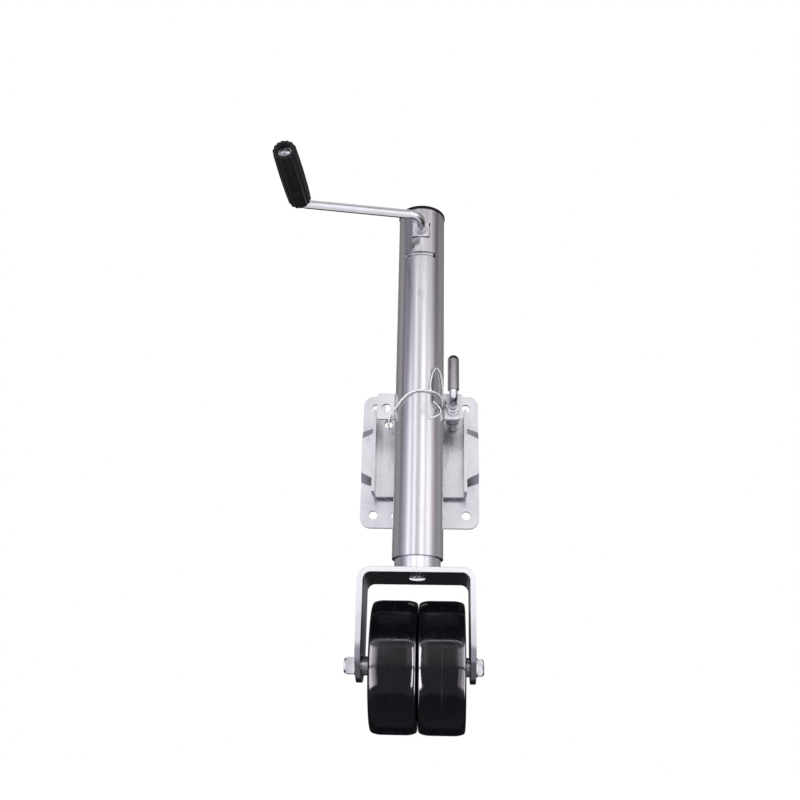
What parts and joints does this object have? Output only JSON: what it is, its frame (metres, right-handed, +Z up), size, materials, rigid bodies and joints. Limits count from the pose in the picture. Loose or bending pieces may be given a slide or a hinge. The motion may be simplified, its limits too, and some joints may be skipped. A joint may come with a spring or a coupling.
{
  "type": "trailer tongue jack",
  "caption": "Swing-away trailer jack: zinc tube with a side crank, telescoping leg, fork with paired black wheels, and a bolt-on plate with a pivot and a spring pull pin.",
  "frame": {"origin": "centre of the four-bolt pattern, on the mount plate's back face where it meets the trailer frame", "axes": "+Z up along the jack's tube, +Y back into the trailer frame, +X to the right seen from the crank side, along the wheel axle"},
  "size_m": [0.2649, 0.2625, 0.6972],
  "materials": {
    "zinc": "bright zinc plate over drawn steel tube",
    "zinc_pressed": "satin zinc plate over pressed sheet",
    "zinc_bright": "bright zinc plate on fasteners",
    "gunmetal": "dull machined steel, lightly oiled",
    "bronze": "satin sintered bronze",
    "black_grip": "matte moulded plastic",
    "black_wheel": "glossy moulded plastic",
    "clear_cord": "milky plastic-coated cord"
  },
  "bodies": {
    "mount": {"mount_plate": "zinc_pressed", "pivot_hub": "zinc"},
    "jack_body": {"saddle_channel": "zinc_pressed", "tube_cradle": "zinc_pressed", "lock_ears": "zinc", "outer_tube": "zinc", "top_cap": "black_grip", "shaft_bush_front": "zinc_pressed", "shaft_bush_rear": "bronze", "bearing_plate": "gunmetal", "pin_spring": "zinc_bright", "lanyard": "clear_cord"},
    "lock_pin": {"pull_pin": "zinc_bright", "pin_sleeve": "gunmetal", "pin_washer": "zinc_bright", "pin_cross_pin": "zinc_bright"},
    "crank": {"crank_rod": "zinc", "pinion": "gunmetal", "pinion_pin": "zinc_bright", "grip_washer": "zinc_bright", "grip_screw": "zinc_bright"},
    "grip": {"crank_grip": "black_grip"},
    "screw": {"lead_screw": "gunmetal", "driven_gear": "gunmetal", "gear_pin": "zinc_bright", "hub_washer": "zinc_bright", "thrust_races": "zinc_bright", "thrust_balls": "zinc_bright", "ball_cage": "bronze"},
    "nut": {"drive_nut": "bronze"},
    "leg": {"inner_tube": "zinc", "fork": "zinc", "axle_bolt": "zinc_bright", "axle_nut": "zinc_bright", "axle_washers": "zinc_bright", "axle_sleeve": "gunmetal", "axle_spacers": "zinc_pressed", "wheel_divider": "zinc_pressed"},
    "left_wheel": {"wheel_left": "black_wheel", "wheel_bushing_left": "bronze"},
    "right_wheel": {"wheel_right": "black_wheel", "wheel_bushing_right": "bronze"}
  },
  "joints": [
    {"name": "swing", "type": "hinge", "parent": "mount", "child": "jack_body", "pos_m": [0, -0.0145, 0.005], "axis": [0, 1, 0], "range_deg": [-90, 90]},
    {"name": "pin_slide", "type": "slide", "parent": "jack_body", "child": "lock_pin", "axis": [0, 1, 0], "range_m": [-0.008, 0.011], "deforming": ["pin_spring"]},
    {"name": "crank_turn", "type": "hinge", "parent": "jack_body", "child": "crank", "pos_m": [0, -0.078, 0.3032], "axis": [0, 1, 0], "range_deg": [0, 30240]},
    {"name": "grip_spin", "type": "hinge", "parent": "crank", "child": "grip", "pos_m": [-0.16662, -0.20464, 0.32325], "axis": [0.0433, 0.999, -0.0052], "continuous": true},
    {"name": "screw_turn", "type": "hinge", "parent": "jack_body", "child": "screw", "pos_m": [0, -0.078, 0.25], "axis": [0, 0, 1], "range_deg": [0, 15120]},
    {"name": "leg_lift", "type": "slide", "parent": "jack_body", "child": "nut", "axis": [0, 0, -1], "range_m": [0, 0.252]},
    {"name": "leg_swivel", "type": "hinge", "parent": "nut", "child": "leg", "pos_m": [0, -0.078, -0.17], "axis": [0, 0, 1], "continuous": true},
    {"name": "left_wheel_spin", "type": "hinge", "parent": "leg", "child": "left_wheel", "pos_m": [-0.02505, -0.078, -0.2791], "axis": [1, 0, 0], "continuous": true},
    {"name": "right_wheel_spin", "type": "hinge", "parent": "leg", "child": "right_wheel", "pos_m": [0.03035, -0.078, -0.2791], "axis": [1, 0, 0], "continuous": true}
  ],
  "couplings": [
    {"joint": "screw_turn", "follows": "crank_turn", "ratio": 0.5},
    {"joint": "leg_lift", "follows": "crank_turn", "m_per_rad": 0.00047746}
  ]
}
